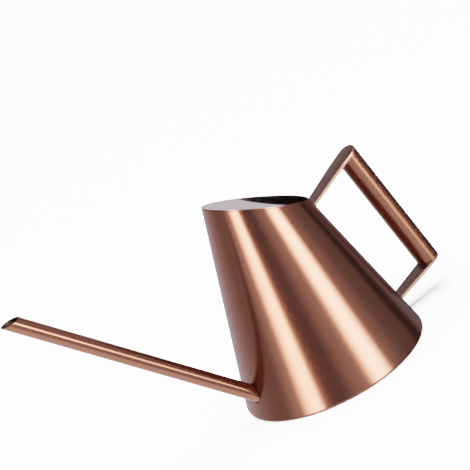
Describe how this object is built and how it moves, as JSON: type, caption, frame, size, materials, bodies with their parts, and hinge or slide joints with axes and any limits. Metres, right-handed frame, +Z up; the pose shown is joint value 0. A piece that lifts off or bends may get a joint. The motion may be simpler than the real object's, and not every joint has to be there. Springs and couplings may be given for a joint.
{
  "type": "watering can",
  "caption": "Cone-bodied indoor watering can in copper-toned steel with a slanted half-covered mouth, a long straight spout and a square-set tube handle.",
  "frame": {"origin": "centre of the base's underside, on the ground", "axes": "+Z up along the can's axis, spout towards -X, handle on the +X side, symmetric about the XZ plane"},
  "size_m": [0.3074, 0.135, 0.165],
  "materials": {
    "brushed_copper_steel": "stainless steel with a copper-brown coating, satin, brushed round the cone",
    "satin_cover": "the same coated steel, even satin",
    "satin_strap": "the same coated steel, satin along the bar, with bright edges",
    "polished_copper_tube": "the same coated steel, nearly polished",
    "weld_metal": "ground weld metal under the same coating"
  },
  "bodies": {
    "root": {"body_shell": "brushed_copper_steel", "base_pan": "brushed_copper_steel", "splash_cover": "satin_cover", "spout_tube": "polished_copper_tube", "handle_upper_strap": "satin_strap", "handle_lower_strap": "satin_strap", "handle_grip_tube": "polished_copper_tube", "base_weld": "weld_metal", "cover_weld": "weld_metal", "spout_weld": "weld_metal", "lower_strap_weld": "weld_metal", "upper_strap_weld": "weld_metal", "grip_lower_weld": "weld_metal", "grip_upper_weld": "weld_metal"}
  },
  "joints": []
}
